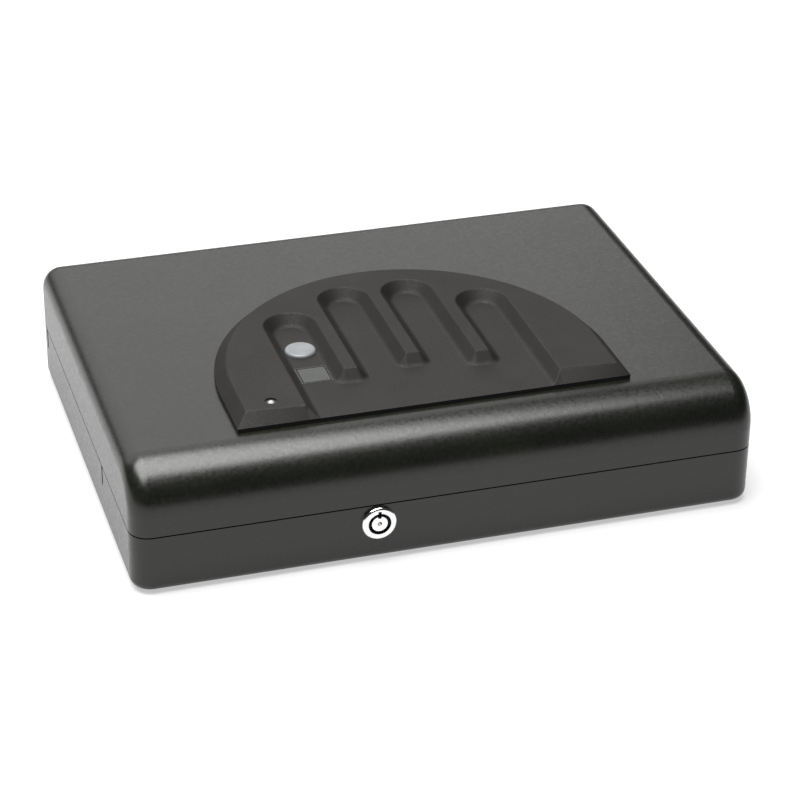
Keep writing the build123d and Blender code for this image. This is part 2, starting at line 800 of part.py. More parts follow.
with BuildPart() as sensor_window:
    with BuildSketch(flat(pad_bottom + 0.4)):
        with Locations(sensor_xy):
            Rectangle(frame_opening, frame_opening)
    extrude(amount=window_foot)
    with BuildSketch(flat(pad_bottom + 0.4)):
        with Locations(sensor_xy):
            Rectangle(glass_side, glass_side)
    extrude(amount=pad_floor + 0.1 - (pad_bottom + 0.4))
    chamfer(sensor_window.faces().sort_by(Axis.Z)[-1].edges(), glass_edge)
sensor_window.part.label = "sensor_window"
export_step(sensor_window.part, "parts/sensor_window.step")

with BuildPart() as sensor_module:
    with BuildSketch(flat(module_board_top)):
        with Locations((sensor_xy[0], sensor_xy[1] + 0.8)):
            Rectangle(12.0, 10.4)
    extrude(amount=pad_bottom + 0.4 - module_board_top)
sensor_module.part.label = "sensor_module"
export_step(sensor_module.part, "parts/sensor_module.step")

with BuildPart() as module_board:
    with BuildSketch(flat(module_board_top - 1.0)):
        with Locations((module_x, -32.0)):
            Rectangle(20.0, 38.5)
    extrude(amount=1.0)
module_board.part.label = "module_board"
export_step(module_board.part, "parts/module_board.step")

cover_bottom = 50.4
cover_wall = 1.5
cover_size = (26.0, 43.0)
cover_y = -31.5
with BuildPart() as module_cover:
    with BuildSketch(flat(cover_bottom)):
        with Locations((module_x, cover_y)):
            RectangleRounded(*cover_size, 2.0)
    extrude(amount=lid_ceiling - cover_bottom)
    fillet(module_cover.faces().sort_by(Axis.Z)[0].edges(), 0.8)
    with BuildSketch(flat(lid_ceiling)):
        with Locations((module_x, cover_y)):
            Rectangle(cover_size[0] - 2 * cover_wall, cover_size[1] - 2 * cover_wall)
    extrude(amount=-(lid_ceiling - cover_bottom - 1.2), mode=Mode.SUBTRACT)
    with Locations((module_x, cover_y - cover_size[1] / 2, lid_ceiling)):
        Box(12.0, 4.0, 7.6, mode=Mode.SUBTRACT)
module_cover.part.label = "module_cover"
export_step(module_cover.part, "parts/module_cover.step")

# Status lamp: a domed lens in a ring, both a little below the top of the pad.
led_foot = pad_bottom + 0.6
led_radius = 1.5
bezel_recess = 0.7
lens_recess = 0.1
with BuildPart() as led_bezel:
    with BuildSketch(flat(led_foot)):
        with Locations(led_xy):
            Circle(led_hole_radius)
            Circle(led_radius, mode=Mode.SUBTRACT)
    extrude(amount=pad_top - bezel_recess - led_foot)
    fillet(led_bezel.faces().sort_by(Axis.Z)[-1].edges(), 0.2)
led_bezel.part.label = "led_bezel"
export_step(led_bezel.part, "parts/led_bezel.step")

with BuildPart() as status_led:
    with BuildSketch(flat(led_foot)):
        with Locations(led_xy):
            Circle(led_radius)
    extrude(amount=pad_top - lens_recess - led_foot)
    fillet(status_led.faces().sort_by(Axis.Z)[-1].edges(), 1.2)
status_led.part.label = "status_led"
export_step(status_led.part, "parts/status_led.step")

# ================= electronics tray =================
chamfer_start_z = 45.5
battery_left = 63.0
battery_length = 48.5
battery_depth = 26.5
battery_height = 17.5
battery_rear = -56.4
battery_floor = works_floor + 1.4
battery_z = battery_floor + battery_height / 2
battery_y = battery_rear - battery_depth / 2
terminal_spacing = 12.7
chamfer_end_y = -86.0


def works_profile(inset, bottom, top):
    """Side profile of the tray: its front top corner slopes back to clear the rounded lid."""
    with BuildLine() as outline:
        Polyline(
            (works_front + inset, bottom),
            (works_rear - inset, bottom),
            (works_rear - inset, top),
            (chamfer_end_y + 1.2 * inset, top),
            (works_front + inset, chamfer_start_z - 0.4 * inset),
            close=True,
        )
    return outline.line


boss_radius = 4.8
boss_top = 47.0
guide_block_xs = (-60.0, 0.0, 30.0)
guide_block_top = 38.0
guide_block_floor = 32.8
battery_wall_x = 57.5
battery_wall_top = 50.0
window_height = 18.6
lug_radius = 1.7
lug_width = 2.4
door_pin_radius = 0.8
with BuildPart() as works_tray:
    with BuildSketch(endwise(works_left)):
        add(works_profile(0, works_bottom, works_top))
        make_face()
    extrude(amount=works_right - works_left)
    with BuildSketch(endwise(works_left + works_wall)):
        add(works_profile(works_wall, works_floor, works_top))
        make_face()
    extrude(amount=works_right - works_left - 2 * works_wall, mode=Mode.SUBTRACT)
    with BuildSketch(flat(works_floor)):
        with Locations(*works_screw_xys):
            Circle(boss_radius)
    extrude(amount=boss_top - works_floor)
    with BuildSketch(flat(works_bottom)):
        with Locations(*works_screw_xys):
            Circle(1.7)
        for hook_x in hook_xs:
            with Locations((hook_x + (slot_left + slot_right) / 2, bolt_y)):
                RectangleRounded(slot_right - slot_left, slot_depth, 1.0)
    extrude(amount=60.0, mode=Mode.SUBTRACT)
    with BuildSketch(flat(works_bottom)):
        with Locations(*works_screw_xys):
            Circle(3.1)
    extrude(amount=2.0, mode=Mode.SUBTRACT)
    # guide blocks that the bolt bar slides in
    for guide_x in guide_block_xs:
        with Locations((guide_x, bolt_y, (works_floor + guide_block_top) / 2)):
            Box(5.0, 5.5, guide_block_top - works_floor)
        with Locations((guide_x, bolt_y, guide_block_top)):
            Box(6.0, 2.5, 2 * (guide_block_top - guide_block_floor), mode=Mode.SUBTRACT)
    # partition beside the battery
    battery_wall_front = works_front + 10.0
    battery_wall_rear = works_rear - works_wall + 0.2
    battery_wall_y = (battery_wall_front + battery_wall_rear) / 2
    with Locations((battery_wall_x, battery_wall_y, (works_floor + battery_wall_top) / 2)):
        Box(1.6, battery_wall_rear - battery_wall_front, battery_wall_top - works_floor)
    with Locations((battery_wall_x, battery_y, battery_wall_top)):
        Box(3.0, 10.0, 24.0, mode=Mode.SUBTRACT)
    # battery opening in the rear wall
    with Locations(((door_left + door_right) / 2, works_rear, battery_floor + window_height / 2)):
        Box(door_right - door_left - 3.0, 3 * works_wall, window_height, mode=Mode.SUBTRACT)
    # ribbon slot in the rear wall
    with Locations((module_x, works_rear, works_top)):
        Box(12.0, 3 * works_wall, 10.0, mode=Mode.SUBTRACT)
    # hinge lugs of the battery door
    for lug_x in (door_left - 1.6, door_right + 1.6):
        with BuildSketch(endwise(lug_x - lug_width / 2)):
            with Locations((door_pivot_y, door_pivot_z)):
                Circle(lug_radius)
            with Locations((works_rear - 0.3, works_bottom + 3.0)):
                Rectangle(0.6, 5.0)
            make_hull()
            with Locations((door_pivot_y, door_pivot_z)):
                Circle(door_pin_radius, mode=Mode.SUBTRACT)
        extrude(amount=lug_width)
works_tray.part.label = "works_tray"
export_step(works_tray.part, "parts/works_tray.step")

with BuildPart() as lid_studs:
    with BuildSketch(flat(boss_top)):
        with Locations(*works_screw_xys):
            Circle(3.0)
            Circle(1.5, mode=Mode.SUBTRACT)
    extrude(amount=lid_ceiling - boss_top - 3.0)
    with BuildSketch(flat(lid_ceiling - 3.0)):
        with Locations(*works_screw_xys):
            Circle(3.0)
    extrude(amount=2.0)
lid_studs.part.label = "lid_studs"
export_step(lid_studs.part, "parts/lid_studs.step")

with BuildPart() as works_screws:
    for screw_x, screw_y in works_screw_xys:
        add(screw(screw_x, screw_y, works_bottom + 2.0, 52.0, 1.5, 2.9, 1.8, up=True))
works_screws.part.label = "works_screws"
export_step(works_screws.part, "parts/works_screws.step")

# ================= battery and its door =================
with BuildPart() as battery:
    with Locations((battery_left + battery_length / 2, battery_y, battery_z)):
        Box(battery_length - 2.5, battery_depth, battery_height)
    fillet(battery.edges().filter_by(Axis.X), 2.0)
    for side, radius in ((-1, 3.0), (1, 4.0)):
        with BuildSketch(endwise(battery_left + 1.25)):
            with Locations((battery_y + side * terminal_spacing / 2, battery_z)):
                Circle(radius)
        extrude(amount=-2.2)
battery.part.label = "battery"
export_step(battery.part, "parts/battery.step")

with BuildPart() as battery_clip:
    with Locations((battery_left - 2.0, battery_y, battery_z)):
        Box(1.8, 25.0, 14.0)
    fillet(battery_clip.edges().filter_by(Axis.X), 3.0)
battery_clip.part.label = "battery_clip"
export_step(battery_clip.part, "parts/battery_clip.step")

door_top = 53.0
door_sheet = 1.6
with BuildPart() as battery_door:
    with BuildSketch(endwise(door_left + 0.3)):
        with BuildLine():
            Polyline(
                (door_pivot_y - door_sheet / 2, door_pivot_z),
                (door_pivot_y + door_sheet / 2, door_pivot_z),
                (door_pivot_y + door_sheet / 2, door_top - 2.0),
                (door_pivot_y + door_sheet / 2 + 1.2, door_top),
                (door_pivot_y - door_sheet / 2, door_top),
                close=True,
            )
        make_face()
        with Locations((door_pivot_y, door_pivot_z)):
            Circle(2 * door_pin_radius)
            Circle(door_pin_radius + running_fit, mode=Mode.SUBTRACT)
    extrude(amount=door_right - door_left - 0.6)
battery_door.part.label = "battery_door"
export_step(battery_door.part, "parts/battery_door.step")

with BuildPart() as door_pin:
    with BuildSketch(endwise(door_left - 2.8)):
        with Locations((door_pivot_y, door_pivot_z)):
            Circle(door_pin_radius)
    extrude(amount=door_right - door_left + 5.6)
door_pin.part.label = "door_pin"
export_step(door_pin.part, "parts/door_pin.step")

# ================= control board =================
board_x = -22.0
board_y = -71.0
board_length = 64.0
board_depth = 28.0
board_sheet = 1.6
board_hole_xys = tuple((board_x + sx * 28.5, board_y + sy * 9.5) for sx in (-1, 1) for sy in (-1, 1))
ribbon_x = -43.5
ribbon_width = 7.0

with BuildPart() as control_board:
    with BuildSketch(flat(board_z)):
        with Locations((board_x, board_y)):
            RectangleRounded(board_length, board_depth, 1.0)
        with Locations(*board_hole_xys):
            Circle(1.3, mode=Mode.SUBTRACT)
    extrude(amount=board_sheet)
control_board.part.label = "control_board"
export_step(control_board.part, "parts/control_board.step")

# Processor, relay, capacitor row and the ribbon's socket.
with BuildPart() as board_parts:
    chip_z = board_z + board_sheet
    with Locations((board_x, board_y + 2.0, chip_z + 0.6)):
        Box(10.0, 10.0, 1.2)
    with Locations((board_x + 16.0, board_y - 2.0, chip_z + 1.5)):
        Box(9.0, 12.0, 3.0)
    with Locations((ribbon_x, -59.5, chip_z + 0.9)):
        Box(ribbon_width + 1.5, 4.5, 1.8)
    with BuildSketch(flat(chip_z)):
        with Locations((board_x - 12.0, board_y - 8.0), (board_x - 4.0, board_y - 8.0)):
            Circle(2.5)
    extrude(amount=3.2)
board_parts.part.label = "board_parts"
export_step(board_parts.part, "parts/board_parts.step")

with BuildPart() as board_spacers:
    with BuildSketch(flat(board_z + board_sheet)):
        with Locations(*board_hole_xys):
            Circle(2.2)
            Circle(1.25, mode=Mode.SUBTRACT)
    extrude(amount=lid_ceiling - board_z - board_sheet)
board_spacers.part.label = "board_spacers"
export_step(board_spacers.part, "parts/board_spacers.step")

with BuildPart() as board_screws:
    for screw_x, screw_y in board_hole_xys:
        add(screw(screw_x, screw_y, board_z, board_z + 5.5, 1.25, 2.2, 1.2, up=True))
board_screws.part.label = "board_screws"
export_step(board_screws.part, "parts/board_screws.step")

# Flat ribbon from the sensor's board over the tray's rear wall to the socket on the control board.
with BuildPart() as sensor_ribbon:
    with BuildSketch(endwise(ribbon_x - ribbon_width / 2)):
        with BuildLine():
            Polyline(
                (-50.2, module_board_top + 0.1),
                (-50.2, 55.0),
                (-58.8, 55.0),
                (-58.8, board_z + board_sheet + 1.8),
                (-59.2, board_z + board_sheet + 1.8),
                (-59.2, 55.4),
                (-49.8, 55.4),
                (-49.8, module_board_top + 0.1),
                close=True,
            )
        make_face()
    extrude(amount=ribbon_width)
sensor_ribbon.part.label = "sensor_ribbon"
export_step(sensor_ribbon.part, "parts/sensor_ribbon.step")

# Two leads from the battery clip up to the control board.
lead_radius = 0.6
with BuildPart() as battery_leads:
    for lead_y in (battery_y - 3.0, battery_y + 3.0):
        with BuildLine() as route:
            FilletPolyline(
                (battery_left - 2.9, lead_y, battery_z),
                (battery_left - 11.0, lead_y, battery_z),
                (battery_left - 22.0, lead_y, 47.0),
                (board_x + board_length / 2 - 3.0, lead_y, 47.0),
                (board_x + board_length / 2 - 3.0, lead_y, board_z),
                radius=(4.0, 4.0, 1.4),
            )
        with BuildSketch(Plane(origin=route.line @ 0, z_dir=route.line % 0)):
            Circle(lead_radius)
        sweep()
battery_leads.part.label = "battery_leads"
export_step(battery_leads.part, "parts/battery_leads.step")

# ================= solenoid and bolt =================
solenoid_left = -72.0
solenoid_right = -42.0
solenoid_half = 7.5
plunger_radius = 3.0
link_left = -31.0
link_sheet = 2.0
link_right = link_left + link_sheet
link_top = 46.0
link_bore = 2.0

with BuildPart() as solenoid_frame:
    with Locations(((solenoid_left + solenoid_right) / 2, solenoid_y, solenoid_z)):
        Box(solenoid_right - solenoid_left, 2 * solenoid_half, 2 * solenoid_half)
        window = (solenoid_right - solenoid_left - 3.0, 2 * solenoid_half, 2 * solenoid_half - 3.0)
        Box(*window, mode=Mode.SUBTRACT)
    with BuildSketch(endwise(solenoid_left)):
        with Locations((solenoid_y, solenoid_z)):
            Circle(plunger_radius + 0.4)
    extrude(amount=solenoid_right - solenoid_left, mode=Mode.SUBTRACT)
    for foot_side in (-1, 1):
        leg_height = solenoid_z - solenoid_half - works_floor
        leg_x = (solenoid_left + solenoid_right) / 2 + foot_side * 10
        with Locations((leg_x, solenoid_y, works_floor + leg_height / 2)):
            Box(4.0, 10.0, leg_height)
solenoid_frame.part.label = "solenoid_frame"
export_step(solenoid_frame.part, "parts/solenoid_frame.step")

with BuildPart() as solenoid_coil:
    with BuildSketch(endwise(solenoid_left + 1.5)):
        with Locations((solenoid_y, solenoid_z)):
            Circle(solenoid_half - 1.6)
            Circle(plunger_radius + 0.4, mode=Mode.SUBTRACT)
    extrude(amount=solenoid_right - solenoid_left - 3.0)
    for flange_x in (solenoid_left + 1.5, solenoid_right - 2.7):
        with BuildSketch(endwise(flange_x)):
            with Locations((solenoid_y, solenoid_z)):
                Circle(solenoid_half - 1.5)
                Circle(plunger_radius + 0.4, mode=Mode.SUBTRACT)
        extrude(amount=1.2)
solenoid_coil.part.label = "solenoid_coil"
export_step(solenoid_coil.part, "parts/solenoid_coil.step")

with BuildPart() as solenoid_plunger:
    with BuildSketch(endwise(solenoid_left + 4.0)):
        with Locations((solenoid_y, solenoid_z)):
            Circle(plunger_radius)
    extrude(amount=link_left - 1.5 - (solenoid_left + 4.0))
    with BuildSketch(endwise(link_left - 1.5)):
        with Locations((solenoid_y, solenoid_z)):
            Circle(4.6)
    extrude(amount=1.5)
    with BuildSketch(endwise(link_left)):
        with Locations((solenoid_y, solenoid_z)):
            Circle(link_bore)
    extrude(amount=link_sheet + 2.5)
solenoid_plunger.part.label = "solenoid_plunger"
export_step(solenoid_plunger.part, "parts/solenoid_plunger.step")

with BuildPart() as plunger_clip:
    with BuildSketch(endwise(link_right)):
        with Locations((solenoid_y, solenoid_z)):
            Circle(3.6)
            Circle(link_bore, mode=Mode.SUBTRACT)
    extrude(amount=1.0)
plunger_clip.part.label = "plunger_clip"
export_step(plunger_clip.part, "parts/plunger_clip.step")

bolt_spring_part = spring_along_x(solenoid_right + 0.1, link_left - 1.6, solenoid_y, solenoid_z, 3.7, 0.35, 5)
bolt_spring_part.label = "bolt_spring"
export_step(bolt_spring_part, "parts/bolt_spring.step")

# Bolt bar: an upright strip with two hooks that reach down through both decks to the catch bar.
strip_bottom = 33.0
strip_top = 39.0
strip_sheet = 2.0
strip_left = hook_xs[0] - 7.0
strip_right = hook_xs[1] + 4.5
hook_tip = 13.5
toe_top = catch_bottom - 0.5
with BuildPart() as bolt_bar:
    with BuildSketch(upright(bolt_y + strip_sheet / 2)) as strip:
        with Locations(((strip_left + strip_right) / 2, (strip_bottom + strip_top) / 2)):
            Rectangle(strip_right - strip_left, strip_top - strip_bottom)
        for hook_x in hook_xs:
            with BuildLine(Plane.XY):
                Polyline(
                    (hook_x - hook_width / 2, strip_bottom + 1.0),
                    (hook_x - hook_width / 2, hook_tip),
                    (hook_x + hook_width / 2 + 2.0, hook_tip),
                    (hook_x + hook_width / 2 + toe_reach, hook_tip + 3.0),
                    (hook_x + hook_width / 2 + toe_reach, toe_top),
                    (hook_x + hook_width / 2, toe_top),
                    (hook_x + hook_width / 2, strip_bottom + 1.0),
                    close=True,
                )
            make_face()
    extrude(amount=strip_sheet)
    with BuildSketch(endwise(link_left)):
        with Locations(((bolt_y + solenoid_y) / 2 - 2.0, (strip_bottom + link_top) / 2)):
            Rectangle(bolt_y - solenoid_y + 6.0, link_top - strip_bottom)
        with Locations((solenoid_y, solenoid_z)):
            Circle(link_bore, mode=Mode.SUBTRACT)
    extrude(amount=link_sheet)
bolt_bar.part.label = "bolt_bar"
export_step(bolt_bar.part, "parts/bolt_bar.step")
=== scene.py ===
import json
import math

import bmesh
import bpy
import numpy as np
from mathutils import Matrix, Vector


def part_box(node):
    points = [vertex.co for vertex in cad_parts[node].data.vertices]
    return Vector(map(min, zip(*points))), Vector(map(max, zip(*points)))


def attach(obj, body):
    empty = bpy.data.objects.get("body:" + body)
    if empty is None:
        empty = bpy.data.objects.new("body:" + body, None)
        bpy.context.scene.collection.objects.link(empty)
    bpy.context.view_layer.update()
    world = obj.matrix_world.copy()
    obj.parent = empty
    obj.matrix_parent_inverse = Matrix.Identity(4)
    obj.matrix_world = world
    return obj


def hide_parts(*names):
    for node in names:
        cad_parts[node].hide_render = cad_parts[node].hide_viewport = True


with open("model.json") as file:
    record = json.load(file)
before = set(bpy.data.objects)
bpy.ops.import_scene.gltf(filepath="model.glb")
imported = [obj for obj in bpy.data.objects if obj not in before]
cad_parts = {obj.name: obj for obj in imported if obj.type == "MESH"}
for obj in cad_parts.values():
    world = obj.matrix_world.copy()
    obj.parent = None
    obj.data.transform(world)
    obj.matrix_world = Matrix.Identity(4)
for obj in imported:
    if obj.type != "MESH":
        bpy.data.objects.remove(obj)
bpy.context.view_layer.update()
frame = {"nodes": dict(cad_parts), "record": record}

# Looks of a compact gun safe: a powder-coated steel tray and lid, a moulded hand pad with a button,
# a sensor window and a lamp, and a chromed key lock. Metres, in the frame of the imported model.

MM = 0.001
nodes = frame["nodes"]


# ================= node helpers =================
def linear(hex_colour):
    """An sRGB hex colour as linear RGBA."""
    channels = [int(hex_colour[i:i + 2], 16) / 255 for i in (0, 2, 4)]
    return [c / 12.92 if c <= 0.04045 else ((c + 0.055) / 1.055) ** 2.4 for c in channels] + [1.0]


def put(tree, kind, inputs=None, **settings):
    """Adds one node: settings are its properties, inputs its sockets, each a value or another's output."""
    node = tree.nodes.new(kind)
    for name, value in settings.items():
        setattr(node, name, value)
    for key, value in (inputs or {}).items():
        socket = node.inputs[key]
        if isinstance(value, bpy.types.NodeSocket):
            tree.links.new(value, socket)
        else:
            socket.default_value = value
    return node


def per_mm(size):
    """Noise or wave scale whose features are about size millimetres across, on coordinates in metres."""
    return 1000.0 / size


class Finish:
    """A material that starts as one Principled shader, on Object coordinates.

    Settings that are even all over the surface are set on the shader's own sockets.
    """

    def __init__(self, name, roughness, metallic=0.0, ior=1.5, **sockets):
        self.material = bpy.data.materials.new(name)
        self.material.use_nodes = True
        self.tree = self.material.node_tree
        self.tree.nodes.clear()
        out = put(self.tree, "ShaderNodeOutputMaterial")
        even = {"Roughness": roughness, "Metallic": metallic, "IOR": ior}
        even.update({key.replace("_", " "): value for key, value in sockets.items()})
        self.shader = put(self.tree, "ShaderNodeBsdfPrincipled", even)
        self.tree.links.new(self.shader.outputs["BSDF"], out.inputs["Surface"])
        self.place = put(self.tree, "ShaderNodeTexCoord").outputs["Object"]
        self.normal = None

    def noise(self, size, detail=2.0, roughness=0.5, vector=None):
        """Noise with features of size millimetres, 0 to 1."""
        inputs = {
            "Vector": vector or self.place,
            "Scale": per_mm(size),
            "Detail": detail,
            "Roughness": roughness,
        }
        return put(self.tree, "ShaderNodeTexNoise", inputs).outputs["Fac"]

    def between(self, fac, low, high, start=0.35, end=0.65):
        """Maps fac from start..end to low..high."""
        inputs = {"Value": fac, "From Min": start, "From Max": end, "To Min": low, "To Max": high}
        return put(self.tree, "ShaderNodeMapRange", inputs).outputs["Result"]

    def blend(self, fac, first, second):
        """Mixes two colours, each a hex string or an output."""
        a, b = (linear(c) if isinstance(c, str) else c for c in (first, second))
        node = put(self.tree, "ShaderNodeMix", {"Factor": fac}, data_type="RGBA")
        for socket, value in ((node.inputs[6], a), (node.inputs[7], b)):
            if isinstance(value, bpy.types.NodeSocket):
                self.tree.links.new(value, socket)
            else:
                socket.default_value = value
        return node.outputs[2]

    def colour(self, source):
        """Sets the base colour: a hex string, or an output to link."""
        if isinstance(source, str):
            self.shader.inputs["Base Color"].default_value = linear(source)
        else:
            self.tree.links.new(source, self.shader.inputs["Base Color"])

    def rough(self, source):
        """Links the roughness to an output."""
        self.tree.links.new(source, self.shader.inputs["Roughness"])

    def relief(self, height, depth_mm, strength=1.0):
        """Adds a bump of depth_mm on top of the ones before it, from a height of 0 to 1."""
        inputs = {"Height": height, "Distance": depth_mm * MM, "Strength": strength}
        if self.normal is not None:
            inputs["Normal"] = self.normal
        self.normal = put(self.tree, "ShaderNodeBump", inputs).outputs["Normal"]
        self.tree.links.new(self.normal, self.shader.inputs["Normal"])

    def axis(self, letter):
        """One Object coordinate, in metres."""
        return put(self.tree, "ShaderNodeSeparateXYZ", {"Vector": self.place}).outputs[letter]

    def math(self, operation, *values):
        """One math node on values or outputs."""
        inputs = dict(enumerate(values))
        return put(self.tree, "ShaderNodeMath", inputs, operation=operation).outputs[0]


# ================= finishes =================
def powder_coat():
    """Polyester powder coat, baked on pressed steel: satin black, with a fine grain and soft orange peel."""
    f = Finish("powder_coat_satin_black", 0.36, ior=1.5)
    f.colour(f.blend(f.between(f.noise(40.0), 0.0, 1.0), "0b0d08", "10120b"))
    f.rough(f.between(f.noise(1.6, 3.0), 0.27, 0.34))
    f.relief(f.noise(3.2, 1.0), 0.035)
    f.relief(f.noise(0.75, 2.0), 0.018)
    return f.material


def painted_sheet():
    """Black dip paint on folded sheet: flatter and slightly uneven, with faint rolling lines along X."""
    f = Finish("dip_painted_sheet_steel", 0.5)
    stretched = put(f.tree, "ShaderNodeMapping", {"Vector": f.place, "Scale": (0.05, 1.0, 1.0)}).outputs[0]
    lines = f.noise(0.9, 2.0, vector=stretched)
    f.colour(f.blend(f.between(lines, 0.0, 1.0), "1d1d1e", "262627"))
    f.rough(f.between(f.noise(6.0, 3.0), 0.42, 0.58))
    f.relief(f.noise(1.2, 2.0), 0.02)
    return f.material


def zinc_plate():
    """Zinc-plated steel: a cool dull silver with cloudy patches and fine drawing lines."""
    f = Finish("zinc_plated_steel", 0.34, metallic=1.0)
    stretched = put(f.tree, "ShaderNodeMapping", {"Vector": f.place, "Scale": (0.04, 1.0, 1.0)}).outputs[0]
    f.colour(f.blend(f.between(f.noise(5.0, 3.0), 0.0, 1.0), "9da1a4", "b9bcbd"))
    f.rough(f.between(f.noise(2.2, 3.0), 0.27, 0.46))
    f.relief(f.noise(0.35, 2.0, vector=stretched), 0.006)
    return f.material


def spring_steel():
    """Bright drawn spring wire and ground pins: clean steel with faint draw marks."""
    f = Finish("drawn_spring_steel", 0.25, metallic=1.0)
    f.colour(f.blend(f.between(f.noise(2.0), 0.0, 1.0), "a9abad", "c9cbcc"))
    f.rough(f.between(f.noise(0.8, 3.0), 0.18, 0.36))
    f.relief(f.noise(0.3, 1.0), 0.004)
    return f.material


def lock_chrome():
    """Nickel-chrome plate on a turned lock body: near mirror, with faint turning rings and a slight haze."""
    f = Finish("chromed_turned_brass", 0.14, metallic=1.0)
    f.colour(f.blend(f.between(f.noise(4.0), 0.0, 1.0), "dcdddd", "ececea"))
    f.rough(f.between(f.noise(1.5, 3.0), 0.1, 0.2))
    f.relief(f.noise(0.25, 1.0), 0.003)
    return f.material


def lock_core():
    """Chromed post with its keyway painted near black as shade: bright on its faces and in its centre hole,
    painted shade in the ring behind the mouth.
    """
    f = Finish("chromed_post_painted_shade_keyway", 0.18)
    low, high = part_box("lock_plug")
    mouth = low.y + 0.7 * MM
    below = f.between(f.axis("Y"), 0.0, 1.0, mouth, mouth + 0.2 * MM)
    across = f.math("SUBTRACT", f.axis("X"), (low.x + high.x) / 2)
    upward = f.math("SUBTRACT", f.axis("Z"), (low.z + high.z) / 2)
    squares = [f.math("MULTIPLY", value, value) for value in (across, upward)]
    reach = f.math("SQRT", f.math("ADD", *squares))
    # Painted shade: behind the mouth and outside the centre hole, the keyway floor and the post's sides are
    # coloured near black, non-metallic and rougher.
    keyway_painted_shade = f.math("MULTIPLY", below, f.between(reach, 0.0, 1.0, 1.1 * MM, 1.2 * MM))
    f.colour(f.blend(keyway_painted_shade, "e6e6e4", "070707"))
    f.tree.links.new(f.math("SUBTRACT", 1.0, keyway_painted_shade), f.shader.inputs["Metallic"])
    f.rough(f.math("ADD", f.between(f.noise(1.2, 2.0), 0.1, 0.2), f.math("MULTIPLY", keyway_painted_shade, 0.4)))
    f.relief(f.noise(0.3, 1.0), 0.003)
    return f.material


def moulded_pad():
    """Injection-moulded ABS from a spark-eroded tool: warm dark grey, matt, with an even fine grain."""
    f = Finish("spark_textured_abs_warm_grey", 0.64, ior=1.5, Specular_IOR_Level=0.28)
    cloud = f.between(f.noise(22.0, 2.0), 0.0, 1.0)
    f.colour(f.blend(cloud, "12100e", "171512"))
    f.rough(f.between(f.noise(1.0, 3.0), 0.58, 0.7))
    f.relief(f.noise(0.8, 3.0, 0.6), 0.05)
    return f.material


def sponge_rubber():
    """Closed-cell sponge gasket, cut from sheet: dead black, with an open pore at the cut edge."""
    f = Finish("cut_sponge_rubber", 0.85, ior=1.45)
    f.colour(f.blend(f.between(f.noise(0.9), 0.0, 1.0), "050505", "0a0a0a"))
    f.relief(f.noise(0.7, 3.0), 0.06)
    return f.material


def button_plastic():
    """Painted polycarbonate button: cool mid grey, smooth satin with a very fine grain."""
    f = Finish("painted_polycarbonate_grey", 0.38, ior=1.55)
    f.colour(f.blend(f.between(f.noise(6.0), 0.0, 1.0), "626567", "6c6f71"))
    f.rough(f.between(f.noise(0.9, 2.0), 0.34, 0.44))
    f.relief(f.noise(0.6, 2.0), 0.006)
    return f.material


def sensor_frame():
    """Thin moulded frame round the sensor: the pad's dark grey, with a smoother satin face."""
    f = Finish("moulded_frame_satin_grey", 0.4)
    f.colour(f.blend(f.between(f.noise(1.5), 0.0, 1.0), "23211e", "2a2825"))
    f.rough(f.between(f.noise(0.7, 2.0), 0.34, 0.48))
    f.relief(f.noise(0.5, 2.0), 0.01)
    return f.material


def sensor_glass():
    """Coated sensor glass: smoky grey, smooth, with a fine square lattice under the surface."""
    f = Finish("coated_sensor_glass", 0.16, ior=1.52)
    pitch = 0.6 * MM
    lines = [f.math("PINGPONG", f.axis(letter), pitch) for letter in ("X", "Y")]
    lattice = f.math("MINIMUM", *lines)
    cell = f.between(lattice, 1.0, 0.0, 0.0, 0.12 * MM)
    smoke = f.blend(f.between(f.noise(5.0), 0.0, 1.0), "171a16", "1e211b")
    f.colour(f.blend(cell, smoke, "2d302a"))
    f.rough(f.between(f.noise(3.0, 3.0), 0.12, 0.26))
    f.relief(f.noise(4.0), 0.004)
    return f.material


def lamp_lens():
    """Clear acrylic lamp lens: glossy and slightly smoky, with paler patches about a millimetre across."""
    f = Finish("clear_acrylic_lens", 0.08, ior=1.49)
    f.colour(f.blend(f.between(f.noise(1.0), 0.0, 1.0), "8f938e", "a9aca6"))
    f.relief(f.noise(0.8), 0.004)
    return f.material


def black_abs():
    """Moulded black ABS housings inside the lid: a soft sheen over an even grain."""
    f = Finish("moulded_abs_black", 0.5, ior=1.53)
    f.colour(f.blend(f.between(f.noise(12.0), 0.0, 1.0), "1a1a1b", "212122"))
    f.rough(f.between(f.noise(1.4, 3.0), 0.42, 0.58))
    f.relief(f.noise(0.9, 3.0), 0.03)
    return f.material


def moulded_rubber():
    """Moulded rubber feet: dull black with a faint bloom."""
    f = Finish("moulded_rubber_black", 0.75, ior=1.45)
    f.colour(f.blend(f.between(f.noise(3.0, 3.0), 0.0, 1.0), "131313", "1d1c1b"))
    f.relief(f.noise(0.8, 2.0), 0.03)
    return f.material


def lining_foam():
    """Skived closed-cell foam: charcoal, with pores from a third to one and a half millimetres, their hollows
    painted darker than their walls as shade.
    """
    f = Finish("skived_closed_cell_foam", 0.9, ior=1.4, Sheen_Weight=0.15, Sheen_Roughness=0.6)
    inputs = {"Vector": f.place, "Scale": per_mm(1.5)}
    pores = put(f.tree, "ShaderNodeTexVoronoi", inputs, feature="DISTANCE_TO_EDGE").outputs["Distance"]
    walls = f.between(pores, 1.0, 0.0, 0.02, 0.22)
    # Painted shade: the pore hollows are coloured darker than the paler pore walls.
    f.colour(f.blend(walls, f.blend(f.between(f.noise(14.0), 0.0, 1.0), "171719", "1f1f22"), "2b2b2e"))
    f.relief(walls, 0.18, 0.7)
    f.relief(f.noise(0.5, 2.0), 0.05)
    return f.material


